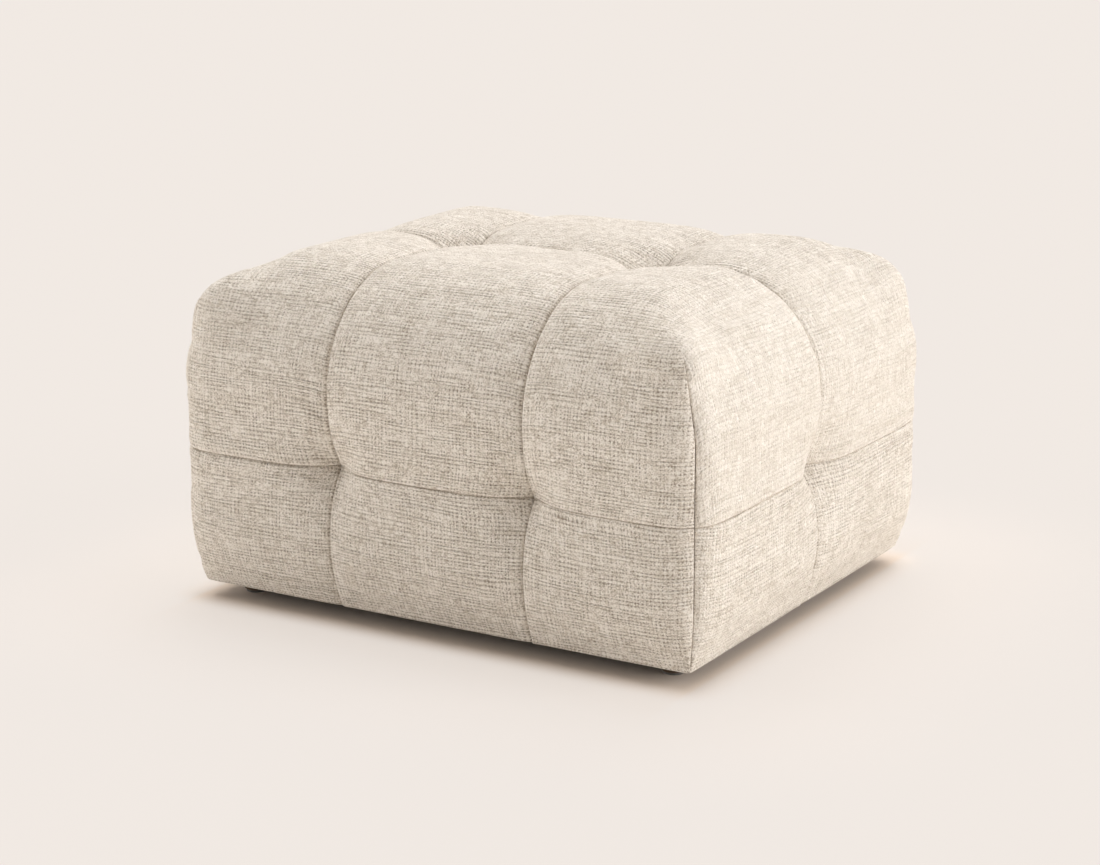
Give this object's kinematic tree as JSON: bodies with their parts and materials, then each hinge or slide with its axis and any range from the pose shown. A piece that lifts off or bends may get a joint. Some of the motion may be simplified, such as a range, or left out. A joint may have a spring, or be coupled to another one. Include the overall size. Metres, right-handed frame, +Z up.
{
  "type": "pouf",
  "caption": "Low rectangular pouf with deep blind tufts and seamed, crowned fabric cells over a padded frame, used as a stool, footrest or extra seat.",
  "frame": {"origin": "on the floor under the middle of the pouf", "axes": "+X along the length, +Y from the front to the back, +Z up"},
  "size_m": [0.761, 0.641, 0.446],
  "materials": {
    "softwood": "planed softwood",
    "beech_dowel": "fluted beech dowel",
    "plywood": "plywood sheet",
    "zinc_steel": "zinc plated steel",
    "webbing": "woven elastic webbing",
    "platform_cloth": "spunbond cloth",
    "seat_foam": "firm upholstery foam",
    "soft_foam": "soft upholstery foam and wadding",
    "cover_fabric": "light beige slubbed chenille weave",
    "tuft_twine": "twisted polyester twine",
    "tuft_washer": "moulded plastic washer",
    "dust_cloth": "black spunbond cloth",
    "dark_wood": "dark stained hardwood",
    "felt": "pressed felt"
  },
  "bodies": {
    "root": {"corner_post_front_left": "softwood", "corner_post_front_right": "softwood", "corner_post_back_left": "softwood", "corner_post_back_right": "softwood", "bottom_rail_front": "softwood", "bottom_rail_back": "softwood", "bottom_rail_left": "softwood", "bottom_rail_right": "softwood", "bottom_cross_rail": "softwood", "top_rail_front": "softwood", "top_rail_back": "softwood", "top_rail_left": "softwood", "top_rail_right": "softwood", "frame_dowels": "beech_dowel", "side_board_front": "plywood", "side_board_back": "plywood", "side_board_left": "plywood", "side_board_right": "plywood", "board_screws": "zinc_steel", "webbing_lengthwise": "webbing", "webbing_crosswise": "webbing", "webbing_staples": "zinc_steel", "platform_cloth": "platform_cloth", "seat_foam": "seat_foam", "pad_top": "soft_foam", "pad_front": "soft_foam", "pad_back": "soft_foam", "pad_left": "soft_foam", "pad_right": "soft_foam", "cover_top_front_left": "cover_fabric", "cover_top_front_middle": "cover_fabric", "cover_top_front_right": "cover_fabric", "cover_top_back_left": "cover_fabric", "cover_top_back_middle": "cover_fabric", "cover_top_back_right": "cover_fabric", "cover_low_front_left": "cover_fabric", "cover_low_front_middle": "cover_fabric", "cover_low_front_right": "cover_fabric", "cover_low_back_left": "cover_fabric", "cover_low_back_middle": "cover_fabric", "cover_low_back_right": "cover_fabric", "cover_low_left_front": "cover_fabric", "cover_low_left_back": "cover_fabric", "cover_low_right_front": "cover_fabric", "cover_low_right_back": "cover_fabric", "tuft_twines_side": "tuft_twine", "tuft_twines_top": "tuft_twine", "tuft_washers": "tuft_washer", "dust_cover": "dust_cloth", "dust_cover_staples": "zinc_steel", "foot_front_left": "dark_wood", "foot_front_right": "dark_wood", "foot_back_left": "dark_wood", "foot_back_right": "dark_wood", "foot_glides": "felt", "foot_bolts": "zinc_steel", "foot_inserts": "zinc_steel"}
  },
  "joints": []
}
